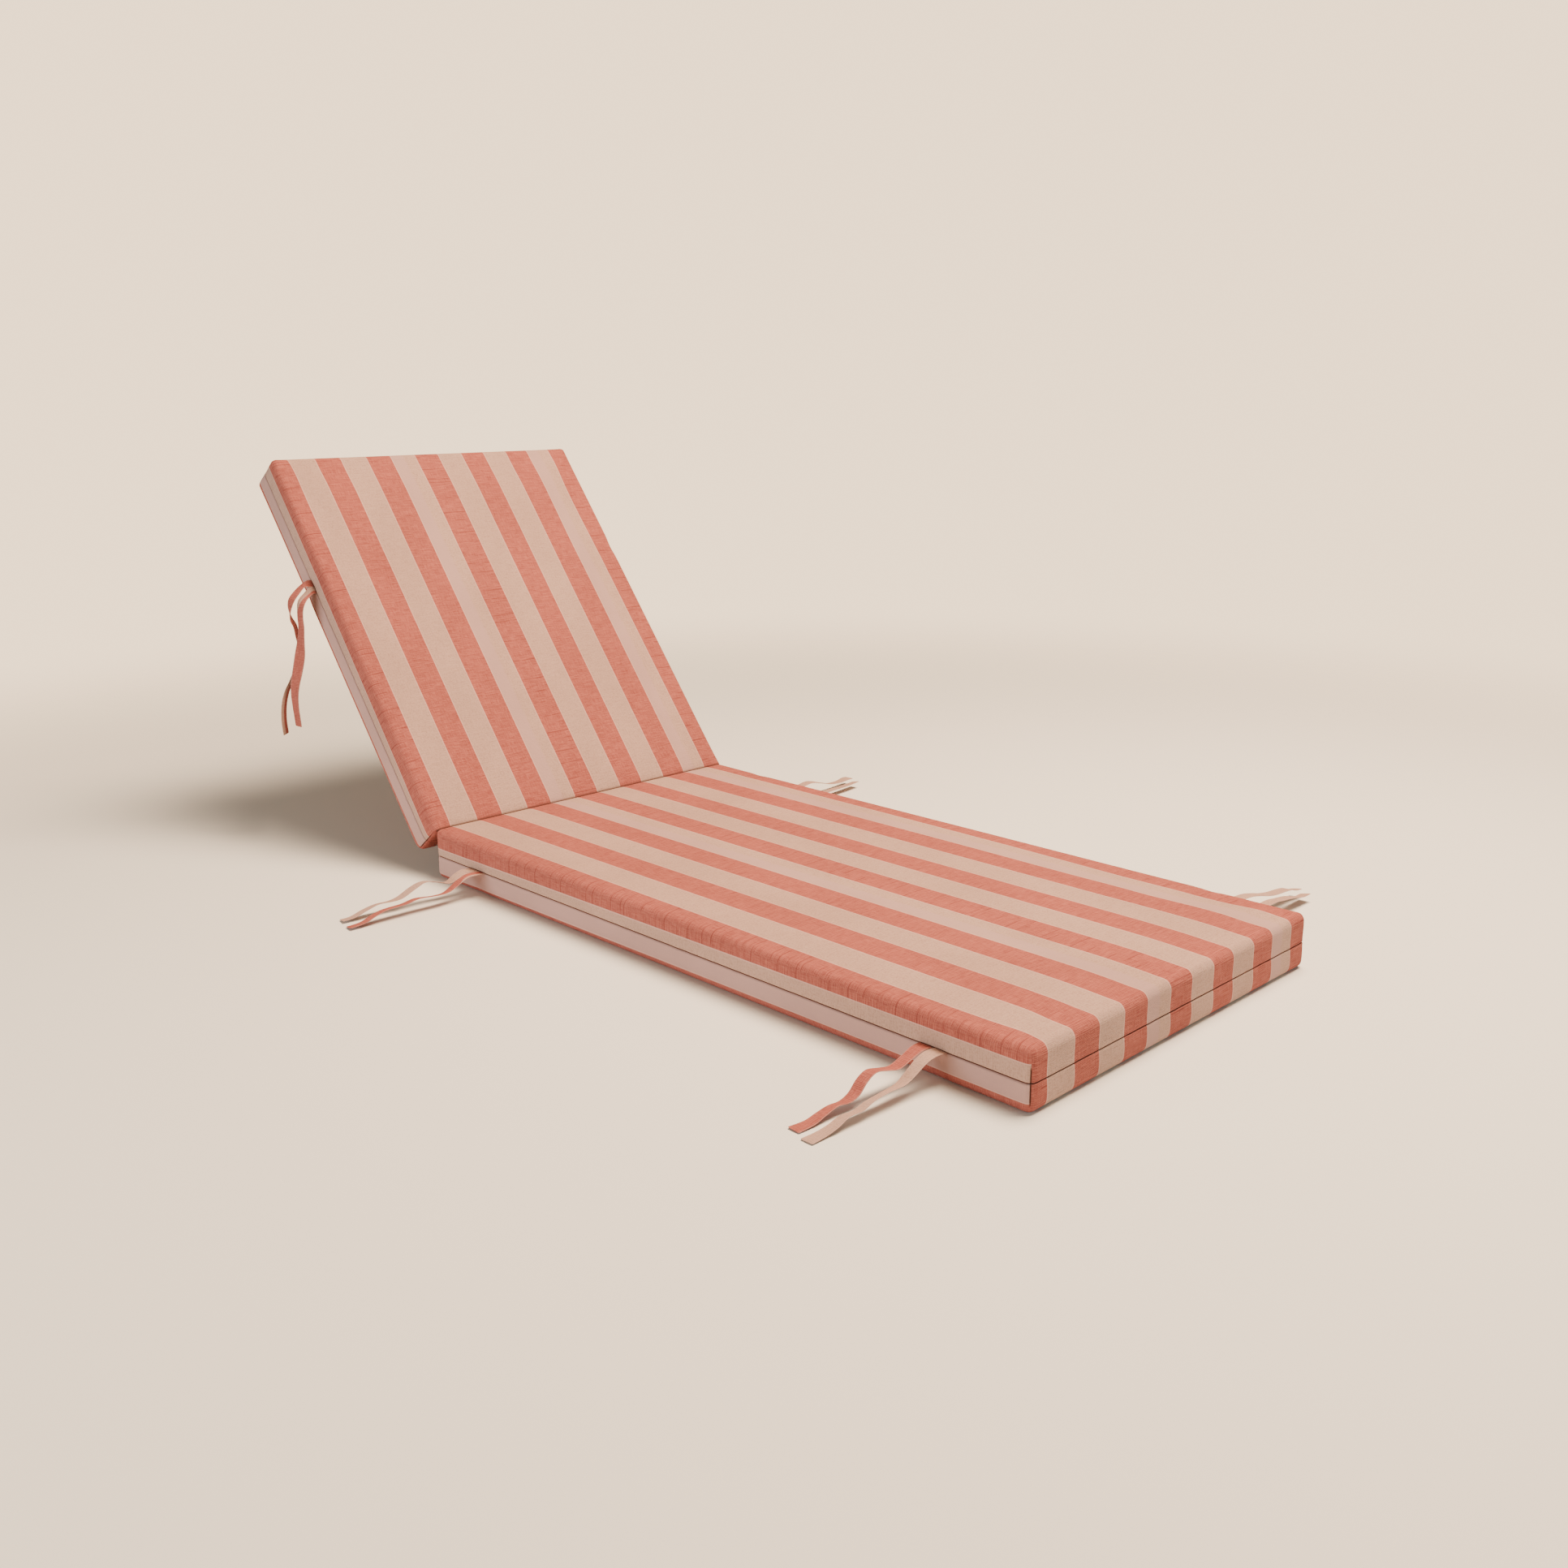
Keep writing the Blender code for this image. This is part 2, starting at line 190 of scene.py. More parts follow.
# each kind of thread: its size across and along the stripes, in metres, and its detail
THREADS = {
    "weft": (0.022, 0.0011, 2.0),
    "warp": (0.0010, 0.016, 2.0),
    "grain": (0.0028, 0.0020, 1.0),
    "slub_bends": (0.05, 0.03, 1.0),
    "slub_fades": (0.030, 0.012, 1.0),
    "patches": (0.11, 0.16, 2.0),
}
# each weave: how much weft, warp, grain and rib count, the sums at which it is deepest and palest,
# and how much of the plain colour lies over it
CORAL_WEAVE = (0.47, 0.38, 0.15, 0.10, 0.30, 0.70, 0.35)
BEIGE_WEAVE = (0.35, 0.25, 0.40, 0.05, 0.28, 0.58, 0.20)
# each range: the noise from and to, then what it is turned into, from and to
SLUB_FADE = (0.38, 0.58, 0.15, 1.0)
PATCH_SHADE = (0.3, 0.7, 0.955, 1.03)
CANVAS_ROUGHNESS = (0.2, 0.8, 0.80, 0.95)
SLUB_SPACING = 0.024
SLUB_HALF = 0.0008
SLUB_SHIFT = 0.37
SLUB_BEND = 0.0018
SLUB_UNEVENNESS = 0.85
SLUB_DARKENS = 0.70
TIE_SLUBS = 0.3
RIB_RELIEF = 0.30
WARP_RELIEF = 0.6
SLUB_RELIEF = 0.2


def feed(tree, socket, value):
    """Links another node's output into the socket, or sets the socket to a plain value."""
    if isinstance(value, bpy.types.NodeSocket):
        tree.links.new(value, socket)
    else:
        socket.default_value = value


def sum_of(tree, operation, first, second=0.0, third=0.0):
    node = add_node(tree, "ShaderNodeMath", operation=operation)
    for socket, value in zip(node.inputs, (first, second, third)):
        feed(tree, socket, value)
    return node.outputs[0]


def ramp(tree, value, start, end, low=0.0, high=1.0):
    node = add_node(tree, "ShaderNodeMapRange", interpolation_type="SMOOTHSTEP")
    for socket, item in zip(node.inputs[:5], (value, start, end, low, high)):
        feed(tree, socket, item)
    return node.outputs[0]


def blend_colours(tree, share, first, second):
    node = add_node(tree, "ShaderNodeMix", data_type="RGBA")
    feed(tree, node.inputs[0], share)
    feed(tree, node.inputs[6], first)
    feed(tree, node.inputs[7], second)
    return node.outputs[2]


def threads(tree, across, along, kind):
    """Noise stretched into one kind of thread."""
    across_size, along_size, detail = THREADS[kind]
    place = add_node(tree, "ShaderNodeCombineXYZ")
    feed(tree, place.inputs[0], sum_of(tree, "DIVIDE", across, across_size))
    feed(tree, place.inputs[1], sum_of(tree, "DIVIDE", along, along_size))
    texture = add_node(tree, "ShaderNodeTexNoise", noise_dimensions="2D")
    feed(tree, texture.inputs["Vector"], place.outputs[0])
    texture.inputs["Scale"].default_value = 1.0
    texture.inputs["Detail"].default_value = detail
    return texture.outputs["Fac"]


def new_group(name, inputs, outputs):
    """inputs and outputs: names, each with its socket type."""
    group = bpy.data.node_groups.new(name, "ShaderNodeTree")
    for way, sockets in (("INPUT", inputs), ("OUTPUT", outputs)):
        for socket_name, socket_type in sockets.items():
            group.interface.new_socket(name=socket_name, in_out=way, socket_type=socket_type)
    return group, add_node(group, "NodeGroupInput"), add_node(group, "NodeGroupOutput")


canvas, canvas_in, canvas_out = new_group(
    "coral_and_beige_canvas",
    {
        "Across": "NodeSocketFloat",
        "Along": "NodeSocketFloat",
        "Coral": "NodeSocketFloat",
        "Rose": "NodeSocketFloat",
        "Stripe": "NodeSocketFloat",
        "Slubs": "NodeSocketFloat",
        "Selvedge": "NodeSocketFloat",
        "Seam": "NodeSocketFloat",
    },
    {"Colour": "NodeSocketColor", "Roughness": "NodeSocketFloat", "Height": "NodeSocketFloat"},
)
across, along = canvas_in.outputs["Across"], canvas_in.outputs["Along"]
coral_share = canvas_in.outputs["Coral"]
weft = threads(canvas, across, along, "weft")
warp = threads(canvas, across, along, "warp")
grain = threads(canvas, across, along, "grain")
wander = sum_of(canvas, "MULTIPLY_ADD", weft, RIB_WANDER, along)
rib = sum_of(canvas, "SINE", sum_of(canvas, "MULTIPLY", wander, 2 * pi / RIB_PITCH))

slub_bends = threads(canvas, across, along, "slub_bends")
slub_along = sum_of(canvas, "MULTIPLY_ADD", slub_bends, SLUB_BEND, along)
slub_shift = sum_of(canvas, "MULTIPLY", canvas_in.outputs["Stripe"], SLUB_SHIFT)
slub_along = sum_of(canvas, "ADD", slub_along, slub_shift)
slub_places = add_node(canvas, "ShaderNodeTexVoronoi", voronoi_dimensions="1D")
feed(canvas, slub_places.inputs["W"], sum_of(canvas, "DIVIDE", slub_along, SLUB_SPACING))
slub_places.inputs["Scale"].default_value = 1.0
slub_places.inputs["Randomness"].default_value = SLUB_UNEVENNESS
slub_half = SLUB_HALF / SLUB_SPACING
slub = ramp(canvas, slub_places.outputs["Distance"], slub_half * 1.5, slub_half * 0.5)
slub_fades = ramp(canvas, threads(canvas, across, along, "slub_fades"), *SLUB_FADE)
slub = sum_of(canvas, "MULTIPLY", slub, slub_fades)
slub = sum_of(canvas, "MULTIPLY", slub, canvas_in.outputs["Slubs"])


def woven(weave, deep, pale, plain):
    """The colour of threads that go from deep to pale, with the plain colour over them."""
    weft_share, warp_share, grain_share, rib_share, deepest, palest, plain_share = weave
    light = sum_of(canvas, "MULTIPLY_ADD", weft, weft_share, sum_of(canvas, "MULTIPLY", warp, warp_share))
    light = sum_of(canvas, "MULTIPLY_ADD", grain, grain_share, light)
    light = ramp(canvas, sum_of(canvas, "MULTIPLY_ADD", rib, rib_share, light), deepest, palest)
    return blend_colours(canvas, plain_share, blend_colours(canvas, light, deep, pale), plain)


coral_cloth = woven(CORAL_WEAVE, CORAL_DEEP, CORAL_PALE, CORAL)
slub_darkens = sum_of(canvas, "MULTIPLY", slub, SLUB_DARKENS)
coral_cloth = blend_colours(canvas, slub_darkens, coral_cloth, CORAL_DEEP)
beige_cloth = woven(BEIGE_WEAVE, BEIGE_DEEP, BEIGE, BEIGE)
beige_cloth = blend_colours(canvas, canvas_in.outputs["Rose"], beige_cloth, BEIGE_ROSE)
cloth_colour = blend_colours(canvas, coral_share, beige_cloth, coral_cloth)
selvedge_share = sum_of(canvas, "MULTIPLY", canvas_in.outputs["Selvedge"], SELVEDGE_SHOWS)
cloth_colour = blend_colours(canvas, selvedge_share, cloth_colour, SELVEDGE)
# painted shade: darkened towards SEAM_SHADE in the seam's channel, the mitres' grooves and the fold's crease
cloth_colour = blend_colours(canvas, canvas_in.outputs["Seam"], cloth_colour, SEAM_SHADE)
tone = add_node(canvas, "ShaderNodeVectorMath", operation="SCALE")
feed(canvas, tone.inputs[0], cloth_colour)
feed(canvas, tone.inputs["Scale"], ramp(canvas, threads(canvas, across, along, "patches"), *PATCH_SHADE))
feed(canvas, canvas_out.inputs["Colour"], tone.outputs[0])
feed(canvas, canvas_out.inputs["Roughness"], ramp(canvas, weft, *CANVAS_ROUGHNESS))
height = sum_of(canvas, "MULTIPLY_ADD", rib, RIB_RELIEF, weft)
height = sum_of(canvas, "MULTIPLY_ADD", warp, WARP_RELIEF, height)
height = sum_of(canvas, "MULTIPLY_ADD", slub, SLUB_RELIEF, height)
feed(canvas, canvas_out.inputs["Height"], height)


def canvas_material(name):
    """A cloth material and its canvas node, with the map's two directions already fed in."""
    material = bpy.data.materials.new(name)
    material.use_nodes = True
    tree = material.node_tree
    shader = tree.nodes["Principled BSDF"]
    shader.inputs["Specular IOR Level"].default_value = CANVAS_SHINE
    cloth_map = add_node(tree, "ShaderNodeUVMap", uv_map="cloth")
    parts = add_node(tree, "ShaderNodeSeparateXYZ")
    tree.links.new(cloth_map.outputs[0], parts.inputs[0])
    cloth = add_node(tree, "ShaderNodeGroup", node_tree=canvas)
    cloth.inputs["Slubs"].default_value = TIE_SLUBS
    tree.links.new(parts.outputs[0], cloth.inputs["Across"])
    tree.links.new(parts.outputs[1], cloth.inputs["Along"])
    tree.links.new(cloth.outputs["Colour"], shader.inputs["Base Color"])
    tree.links.new(cloth.outputs["Roughness"], shader.inputs["Roughness"])
    bump = add_node(tree, "ShaderNodeBump")
    bump.inputs["Strength"].default_value = RELIEF_STRENGTH
    bump.inputs["Distance"].default_value = RELIEF_HEIGHT
    tree.links.new(cloth.outputs["Height"], bump.inputs["Height"])
    tree.links.new(bump.outputs[0], shader.inputs["Normal"])
    return material, cloth, parts


# Every third pair of stripes has more slubs, and a rosy band along one side of its beige. The
# "marks" say, for each place, how far it lies from the seam, in mm, whether it is on a long side
# below the seam, where the canvas is rosy too, and how much painted shade a mitre's groove or the
# fold's crease lays on it.
FEW_SLUBS = 0.35
MORE_SLUBS = 0.65
ROSY_BAND = (0.29, 0.23, 0.0, 0.8)
# the painted shade line along the seam's channel: where it has faded out and where it is full, in mm from
# the seam
SEAM_SHADE_LINE = (1.1, 0.5)
striped_canvas, striped_cloth, striped_place = canvas_material("striped_canvas")
tree = striped_canvas.node_tree
from_first = sum_of(tree, "SUBTRACT", striped_place.outputs[0], STRIPE_START)
period = sum_of(tree, "DIVIDE", from_first, STRIPE_PERIOD)
stripe = sum_of(tree, "FLOOR", period)
within = sum_of(tree, "SUBTRACT", period, stripe)
feed(tree, striped_cloth.inputs["Coral"], sum_of(tree, "GREATER_THAN", within, BEIGE_SHARE))
feed(tree, striped_cloth.inputs["Stripe"], stripe)
from_edge = sum_of(tree, "ABSOLUTE", sum_of(tree, "SUBTRACT", within, BEIGE_SHARE))
from_start = sum_of(tree, "MINIMUM", within, sum_of(tree, "SUBTRACT", 1.0, within))
from_edge = sum_of(tree, "MINIMUM", from_edge, from_start)
feed(tree, striped_cloth.inputs["Selvedge"], ramp(tree, from_edge, SELVEDGE_HALF * 1.6, SELVEDGE_HALF * 0.4))
third = sum_of(tree, "DIVIDE", stripe, 3.0)
third = sum_of(tree, "SUBTRACT", third, sum_of(tree, "FLOOR", third))
in_third = sum_of(tree, "GREATER_THAN", third, 0.5)
feed(tree, striped_cloth.inputs["Slubs"], sum_of(tree, "MULTIPLY_ADD", in_third, MORE_SLUBS, FEW_SLUBS))
rosy_band = sum_of(tree, "MULTIPLY", in_third, ramp(tree, within, *ROSY_BAND))
marks = add_node(tree, "ShaderNodeAttribute", attribute_name="marks")
mark_parts = add_node(tree, "ShaderNodeSeparateXYZ")
tree.links.new(marks.outputs["Vector"], mark_parts.inputs[0])
feed(tree, striped_cloth.inputs["Rose"], sum_of(tree, "MAXIMUM", rosy_band, mark_parts.outputs[1]))
# painted shade: dark along the seam's channel, and wherever the marks lay shade in a mitre's groove or the
# fold's crease
seam_shade_line = ramp(tree, sum_of(tree, "ABSOLUTE", mark_parts.outputs[0]), *SEAM_SHADE_LINE)
feed(tree, striped_cloth.inputs["Seam"], sum_of(tree, "MAXIMUM", seam_shade_line, mark_parts.outputs[2]))


def flat_length(distance, core, radius):
    """The cloth's own length to a place: beyond core it runs round an edge of the given radius."""
    beyond = abs(distance) - core
    if beyond <= 0:
        return distance
    return copysign(core + radius * atan(beyond / radius), distance)


def drop(z):
    """The cloth's own length from the middle of the upper edge's rounding down to this height."""
    core = THICKNESS - EDGE_RADIUS
    quarter = EDGE_RADIUS * pi / 4
    if z > core:
        return quarter - EDGE_RADIUS * atan((z - core) / EDGE_RADIUS)
    return quarter + core - z


def end_radius(z, heel_radius):
    """The rounding's length along the section at the fold's end: tight at the fold, wide at the heel."""
    if z > THICKNESS - EDGE_RADIUS:
        share = (z - THICKNESS + EDGE_RADIUS) / EDGE_RADIUS
        return EDGE_RADIUS + (FOLD_RADIUS - EDGE_RADIUS) * share
    share = max(0.0, 1 - z / EDGE_RADIUS)
    return EDGE_RADIUS + (heel_radius - EDGE_RADIUS) * share


def lay_out_cloth(bm, length, lower_slip):
    """Writes the cloth map on the square box: each panel in its own flat lengths."""
    layer = bm.loops.layers.uv.new("cloth")
    side_start = flat_length(WIDTH / 2, WIDTH / 2 - EDGE_RADIUS, EDGE_RADIUS)
    for face in bm.faces:
        middle = face.calc_center_median()
        lower = middle.z < SEAM_HEIGHT
        for loop in face.loops:
            s, y, z = loop.vert.co
            across = flat_length(y, WIDTH / 2 - EDGE_RADIUS, EDGE_RADIUS)
            along = s
            if abs(face.normal.y) > 0.5:
                slips = lower_slip if lower else UPPER_SLIP
                slip = slips[0] + (slips[1] - slips[0]) * s / length
                slip *= min(1.0, drop(z) / SLIP_REACH)
                across = copysign(side_start + drop(z) + slip, face.normal.y)
            elif face.normal.x > 0.5:
                along = length + drop(z)
            elif face.normal.x < -0.5:
                along = -drop(z)
            loop[layer].uv = (across, along)


# where the box is cut: each rounded edge at these angles, then the fold's end, then the sides
GRID = 0.012
EDGE_CUT_ANGLES = (30, 15, 0)
FOLD_CUTS = (0.0017, 0.0029, 0.0046, 0.0080, 0.0110, 0.0150, 0.0200)
SIDE_CUTS = (0.0195, 0.0280, SEAM_HEIGHT, 0.0460, 0.0560)


def box_cuts(length):
    """Where the box is cut along, across and up: close together at each rounded edge."""
    edge = [EDGE_RADIUS * (1 - tan(radians(angle))) for angle in EDGE_CUT_ANGLES]
    inner = (-FOLD_SWELL + FOLD_CUTS[-1], length - EDGE_RADIUS)
    count = round((inner[1] - inner[0]) / GRID)
    along = [-FOLD_SWELL + step for step in FOLD_CUTS] + [length - step for step in edge]
    along += [inner[0] + (inner[1] - inner[0]) * i / count for i in range(1, count)]
    half = WIDTH / 2
    count = round((WIDTH - 2 * EDGE_RADIUS) / GRID)
    across = [side * (half - step) for side in (-1, 1) for step in edge]
    across += [(i / count - 0.5) * (WIDTH - 2 * EDGE_RADIUS) for i in range(1, count)]
    up = edge + [THICKNESS - step for step in edge]
    up += SIDE_CUTS
    return along, across, up


def rounded_box(name, length, heel_radius, lower_slip):
    """A finely cut box with rounded edges and its sides drawn in towards the seam."""
    bpy.ops.object.select_all(action="DESELECT")
    bpy.ops.mesh.primitive_cube_add(size=1)
    pad = bpy.context.object
    pad.name = name
    low = Vector((-FOLD_SWELL, -WIDTH / 2, 0))
    high = Vector((length, WIDTH / 2, THICKNESS))
    bm = bmesh.new()
    bm.from_mesh(pad.data)
    for layer in list(bm.loops.layers.uv.values()):
        bm.loops.layers.uv.remove(layer)
    bmesh.ops.scale(bm, vec=high - low, verts=bm.verts)
    bmesh.ops.translate(bm, vec=(low + high) / 2, verts=bm.verts)
    for axis, positions in enumerate(box_cuts(length)):
        normal = Vector(float(i == axis) for i in range(3))
        for position in positions:
            everything = bm.verts[:] + bm.edges[:] + bm.faces[:]
            bmesh.ops.bisect_plane(bm, geom=everything, plane_co=normal * position, plane_no=normal)
    lay_out_cloth(bm, length, lower_slip)
    for vert in bm.verts:
        start = vert.co.copy()
        radius = end_radius(start.z, heel_radius) if start.x < length / 2 else EDGE_RADIUS
        radii = (radius, EDGE_RADIUS, EDGE_RADIUS)
        core = Vector(min(max(start[i], low[i] + radii[i]), high[i] - radii[i]) for i in range(3))
        out = Vector((start[i] - core[i]) / radii[i] for i in range(3)).normalized()
        vert.co = core + Vector(out[i] * radii[i] for i in range(3))
        hollow = DRAW_IN * max(0.0, 1 - abs(start.z - SEAM_HEIGHT) / DRAW_IN_REACH)
        vert.co -= Vector((out.x, out.y, 0)) * (hollow + SLACK)
    bm.to_mesh(pad.data)
    bm.free()
    return pad


SWELLING_FRAMES = 20
SEAM_HELD = 0.001
UNDERSIDE_HELD = 0.0012
FOLD_HELD_ALONG = 0.004
FOLD_HELD_DOWN = 0.012


def fill_with_foam(pad):
    """Cloth simulation: the cover is blown up from inside, held at its underside, seam and fold."""
    mesh = pad.data
    start = [vert.co.copy() for vert in mesh.vertices]
    held = pad.vertex_groups.new(name="held")
    for vert in mesh.vertices:
        on_seam = abs(vert.co.z - SEAM_HEIGHT) < SEAM_HELD
        at_fold = vert.co.x < FOLD_HELD_ALONG and vert.co.z > THICKNESS - FOLD_HELD_DOWN
        if vert.co.z < UNDERSIDE_HELD or on_seam or at_fold:
            held.add([vert.index], 1.0, "REPLACE")
    swelling = pad.modifiers.new("swelling", "CLOTH")
    cloth = swelling.settings
    cloth.quality = 4
    cloth.mass = 0.3
    cloth.tension_stiffness = 15
    cloth.compression_stiffness = 15
    cloth.shear_stiffness = 5
    cloth.bending_stiffness = 1.0
    cloth.use_pressure = True
    cloth.uniform_pressure_force = 4
    cloth.vertex_group_mass = "held"
    cloth.effector_weights.gravity = 0
    swelling.point_cache.frame_start = 1
    swelling.point_cache.frame_end = SWELLING_FRAMES
    for frame_number in range(1, SWELLING_FRAMES + 1):
        bpy.context.scene.frame_set(frame_number)
    swollen = pad.evaluated_get(bpy.context.evaluated_depsgraph_get())
    moved = [vert.co.copy() for vert in swollen.data.vertices]
    pad.modifiers.remove(swelling)
    bpy.context.scene.frame_set(1)
    for vert, before, after in zip(mesh.vertices, start, moved):
        move = after - before
        upward = max(0.0, vert.normal.z) ** 2
        most = SIDE_SWELL + (CROWN - SIDE_SWELL) * upward
        distance = move.length
        if distance > 1e-7:
            vert.co = before + move * (most * (1 - exp(-distance / most)) / distance)
    pad.vertex_groups.remove(held)


NO_CORNER = 99.0
CORNER_BEGINS = 0.0005


def corner_turn(s, y, length):
    """How far round a vertical corner a place lies from the corner's middle, in mm."""
    beyond_s = s - (length - EDGE_RADIUS) if s > length / 2 else EDGE_RADIUS - FOLD_SWELL - s
    beyond_y = abs(y) - (WIDTH / 2 - EDGE_RADIUS)
    if beyond_s <= CORNER_BEGINS or beyond_y <= CORNER_BEGINS:
        return NO_CORNER
    return 1000 * EDGE_RADIUS * (atan(beyond_y / beyond_s) - pi / 4)


FOLD_NORMAL = Vector((-cos(BACK_ANGLE / 2), 0, sin(BACK_ANGLE / 2)))


def fold_gap(place):
    """How far a place in a section lies from the plane where the two sections are sewn together."""
    return -(place - Vector((0, 0, THICKNESS))).dot(FOLD_NORMAL)


def smooth_share(value, start, end):
    share = min(1.0, max(0.0, (value - start) / (end - start)))
    return share * share * (3 - 2 * share)


CORNER_REACH = 0.016
CORNER_START = 0.005
CORNER_LOW = 0.004
CORNER_HIGH = THICKNESS - 0.006


def is_by_corner(place, core, diagonal):
    off = Vector((place.x - core.x, place.y - core.y, 0))
    on_corner = off.length < CORNER_REACH and off.dot(diagonal) > CORNER_START
    return on_corner and CORNER_LOW < place.z < CORNER_HIGH


# the extra cuts beside the seam and beside each mitre, in metres
SEAM_CUTS = (-0.0030, -0.0012, -0.0005, 0.0005, 0.0012, 0.0030)
MITRE_CUTS = (-0.0013, -0.0006, 0.0006, 0.0013)
# where the channel and a mitre end, from and to: the mitre's half width is in mm. A mitre gets its groove
# and its painted shade there.
CHANNEL_HALF = (0.0005, 0.0012)
MITRE_HALF = (0.5, 1.3)
MITRE_LOW_END = (0.010, 0.014)
MITRE_HIGH_END = (0.053, 0.057)
MITRE_DEPTH = 0.0014
LIP_BELOW_SEAM = 0.0024
LIP_HALF = 0.0012
LIP_HEIGHT = 0.0003
PUCKERS_PER_METRE = 60
PUCKER_REACH = 0.012
PUCKER_DEPTH = 0.0005
# painted shade in the fold's crease: its half width, from and to, how far below the top it is laid, and how
# dark it is
CREASE_HALF = (0.0006, 0.0030)
CREASE_REACH = 0.012
CREASE_SHADE = 0.75
FAR_FROM_SEAM = 50.0
ROSY_BELOW_SEAM = 0.001
# how much of a normal points sideways on a side, and across the section on a long side
SIDEWAYS = 0.3
LONG_SIDE = 0.7
# the pull of a pair of ties: how far along the side and in from it, then how deep and how far down
PULL_ALONG = 0.016
PULL_REACH = 0.020
PULL_IN = 0.0012
PULL_DOWN = 0.0014


def sew(pad, length, roots):
    """The seams, once the cover is full: the channel all round, the mitres at the corners, the small
    pulls where ties are sewn in, and the marks for painted shade in the channel, the mitres and the fold's
    crease."""
    mesh = pad.data
    bm = bmesh.new()
    bm.from_mesh(mesh)
    for offset in SEAM_CUTS:
        everything = bm.verts[:] + bm.edges[:] + bm.faces[:]
        plane = Vector((0, 0, SEAM_HEIGHT + offset))
        bmesh.ops.bisect_plane(bm, geom=everything, plane_co=plane, plane_no=(0, 0, 1))
    for end in (EDGE_RADIUS - FOLD_SWELL, length - EDGE_RADIUS):
        for side in (-1, 1):
            core = Vector((end, side * (WIDTH / 2 - EDGE_RADIUS), 0))
            diagonal = Vector((1 if end > length / 2 else -1, side, 0)).normalized()
            square = Vector((-diagonal.y, diagonal.x, 0))
            for offset in MITRE_CUTS:
                near = [f for f in bm.faces if is_by_corner(f.calc_center_median(), core, diagonal)]
                edges = dict.fromkeys(edge for face in near for edge in face.edges)
                verts = dict.fromkeys(vert for face in near for vert in face.verts)
                geometry = [*verts, *edges, *near]
                bmesh.ops.bisect_plane(
                    bm, geom=geometry, plane_co=core + square * offset, plane_no=square
                )
    bm.normal_update()
    marks = {}
    for vert in bm.verts:
        s, y, z = vert.co
        from_seam = z - SEAM_HEIGHT
        out = Vector((vert.normal.x, vert.normal.y, 0))
        sideways = out.length > SIDEWAYS
        turn = corner_turn(s, y, length)
        mitre = 1 - smooth_share(abs(turn), *MITRE_HALF)
        mitre *= smooth_share(z, *MITRE_LOW_END) * (1 - smooth_share(z, *MITRE_HIGH_END))
        lower = 0.0
        if sideways and abs(out.normalized().y) > LONG_SIDE and from_seam < -ROSY_BELOW_SEAM:
            lower = 1.0
        # painted shade: the fold's crease near the top and each mitre's groove on the sides are darkened
        # through the marks
        crease = 1 - smooth_share(fold_gap(vert.co), *CREASE_HALF)
        if z > THICKNESS - CREASE_REACH:
            mitre_or_crease_shade = CREASE_SHADE * crease
        else:
            mitre_or_crease_shade = mitre if sideways else 0
        marks[vert.index] = (1000 * from_seam if sideways else FAR_FROM_SEAM, lower, mitre_or_crease_shade)
        if sideways:
            out.normalize()
            channel = 1 - smooth_share(abs(from_seam), *CHANNEL_HALF)
            lip = exp(-(((from_seam + LIP_BELOW_SEAM) / LIP_HALF) ** 2))
            pucker = noise.noise(Vector((s * PUCKERS_PER_METRE, y * PUCKERS_PER_METRE, 3.0)))
            pucker *= exp(-abs(from_seam) / PUCKER_REACH) * PUCKER_DEPTH
            vert.co -= out * (SEAM_DEPTH * channel - LIP_HEIGHT * lip + MITRE_DEPTH * mitre + pucker)
        for root, side in roots:
            if side * y > 0:
                near = exp(-(((s - root) / PULL_ALONG) ** 2))
                deep = exp(-((WIDTH / 2 - abs(y)) / PULL_REACH))
                above = smooth_share(z, SEAM_HEIGHT, THICKNESS)
                vert.co.y -= side * PULL_IN * near * deep
                vert.co.z -= PULL_DOWN * near * deep * above
    bm.verts.index_update()
    bm.to_mesh(mesh)
    bm.free()
    layer = mesh.attributes.new("marks", "FLOAT_VECTOR", "POINT")
    layer.data.foreach_set("vector", [value for i in range(len(marks)) for value in marks[i]])


def trim_to_fold(pad):
    """Keeps the section on its own side of the plane where the two are sewn together."""
    for vert in pad.data.vertices:
        past = SEWING_GAP / 2 - fold_gap(vert.co)
        if past > 0:
            vert.co -= FOLD_NORMAL * past


def cushion(name, length, heel_radius, lower_slip, roots, placing):
    pad = rounded_box(name, length, heel_radius, lower_slip)
    fill_with_foam(pad)
    smoothing = pad.modifiers.new("smoothing", "SUBSURF")
    smoothing.levels = 1
    smoothing.render_levels = 1
    smoothing.uv_smooth = "NONE"
    bpy.ops.object.select_all(action="DESELECT")
    pad.select_set(True)
    bpy.context.view_layer.objects.active = pad
    bpy.ops.object.modifier_apply(modifier="smoothing")
    sew(pad, length, roots)
    trim_to_fold(pad)
    pad.data.transform(placing)
    pad.data.shade_smooth()
    pad.data.materials.clear()
    pad.data.materials.append(striped_canvas)
    return pad


HEAD_TIES = (0.1025, 0.1235)
FOOT_TIES = (0.9990, 1.0200)
seat_roots = [(sum(pair) / 2, side) for pair in (HEAD_TIES, FOOT_TIES) for side in (-1, 1)]
placing = Matrix.Translation((FOLD_X, 0, 0))
seat = cushion("seat_pad", SEAT_LENGTH, SEAT_HEEL_RADIUS, SEAT_LOWER_SLIP, seat_roots, placing)
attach(seat, "root")
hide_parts("seat_cushion")


